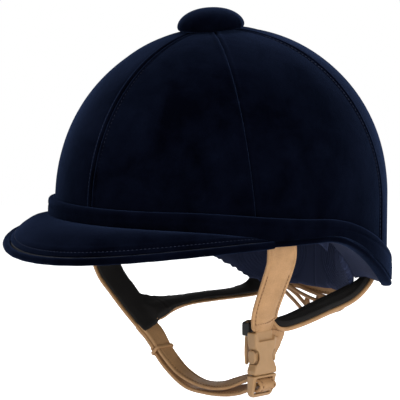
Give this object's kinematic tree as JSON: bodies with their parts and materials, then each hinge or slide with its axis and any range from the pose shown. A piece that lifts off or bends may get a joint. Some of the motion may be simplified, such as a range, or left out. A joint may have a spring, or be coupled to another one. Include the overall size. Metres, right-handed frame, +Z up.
{
  "type": "equestrian riding helmet",
  "caption": "Velvet-covered equestrian riding helmet with a soft-edged peak, padded lining and leather chin harness.",
  "frame": {"origin": "middle of the head opening, level with the rim at the temples", "axes": "+Z up out of the crown, the peak points to -Y, the wearer's left is +X"},
  "size_m": [0.2358, 0.3266, 0.2896],
  "materials": {
    "velvet": "navy cotton velvet",
    "hard_shell": "moulded shell, unseen",
    "foam": "expanded foam",
    "lining_mesh": "navy knitted mesh",
    "lining_pad": "navy padded knit with sewn lines",
    "strap_backing": "black soft backing",
    "tan_leather": "tan leather with stitched edges",
    "lace_leather": "round tan lace",
    "buckle_plastic": "tan moulded plastic",
    "ring_rubber": "black elastic band",
    "rivet_steel": "plain rivet",
    "eyelet_brass": "pressed eyelet"
  },
  "bodies": {
    "helmet": {"outer_shell": "hard_shell", "impact_liner": "foam", "crown_lining": "lining_mesh", "crown_pad": "lining_pad", "cover_front_left": "velvet", "cover_front_right": "velvet", "cover_side_left": "velvet", "cover_side_right": "velvet", "cover_rear_left": "velvet", "cover_rear_right": "velvet", "button_cover": "velvet", "button_core": "hard_shell", "button_rivet": "rivet_steel", "hat_band": "velvet", "rim_strip": "velvet", "peak_core": "hard_shell", "peak_cover_top": "velvet", "peak_cover_under": "velvet", "peak_edge": "velvet", "brow_pad": "lining_pad", "side_pad_left": "lining_pad", "side_pad_right": "lining_pad", "nape_pad": "lining_pad", "harness_rivets": "rivet_steel", "front_strap_left": "tan_leather", "front_strap_right": "tan_leather", "rear_strap_left": "tan_leather", "rear_strap_right": "tan_leather", "rear_backing_left": "strap_backing", "rear_backing_right": "strap_backing", "front_backing_right": "strap_backing", "nape_strap": "tan_leather", "nape_lace": "lace_leather", "lace_eyelets": "eyelet_brass", "strap_joint_left": "tan_leather"},
    "harness": {"chin_sleeve": "tan_leather", "strap_tail": "tan_leather", "buckle_socket": "buckle_plastic", "chin_strap": "tan_leather", "rear_strap_end": "tan_leather"},
    "tongue": {"buckle_tongue": "buckle_plastic"},
    "front_arm": {"latch_arm_front": "buckle_plastic"},
    "rear_arm": {"latch_arm_rear": "buckle_plastic"},
    "keeper": {"strap_keeper": "tan_leather"},
    "ring": {"tail_ring": "ring_rubber"}
  },
  "joints": [
    {"name": "harness_sway", "type": "hinge", "parent": "helmet", "child": "harness", "pos_m": [0.0322, -0.03, -0.012], "axis": [0, 1, 0], "range_deg": [-8, 8], "deforming": ["front_strap_left", "front_strap_right", "rear_strap_left", "rear_strap_right", "rear_backing_left", "rear_backing_right", "front_backing_right", "strap_joint_left"]},
    {"name": "buckle_release", "type": "slide", "parent": "harness", "child": "tongue", "axis": [0, 0, -1], "range_m": [0, 0.024], "deforming": ["latch_arm_front", "latch_arm_rear", "chin_strap"]},
    {"name": "front_arm_press", "type": "hinge", "parent": "tongue", "child": "front_arm", "pos_m": [0.072, -0.0357, -0.0965], "axis": [-1, 0, 0], "range_deg": [0, 6], "stiffness_Nm_per_rad": 0.05},
    {"name": "rear_arm_press", "type": "hinge", "parent": "tongue", "child": "rear_arm", "pos_m": [0.072, -0.0233, -0.0965], "axis": [1, 0, 0], "range_deg": [0, 6], "stiffness_Nm_per_rad": 0.05},
    {"name": "keeper_slide", "type": "slide", "parent": "harness", "child": "keeper", "axis": [0.7071, 0, -0.7071], "range_m": [0, 0.004]},
    {"name": "ring_slide", "type": "slide", "parent": "harness", "child": "ring", "axis": [-0.04, -0.05, -0.9979], "range_m": [0, 0.008]}
  ]
}
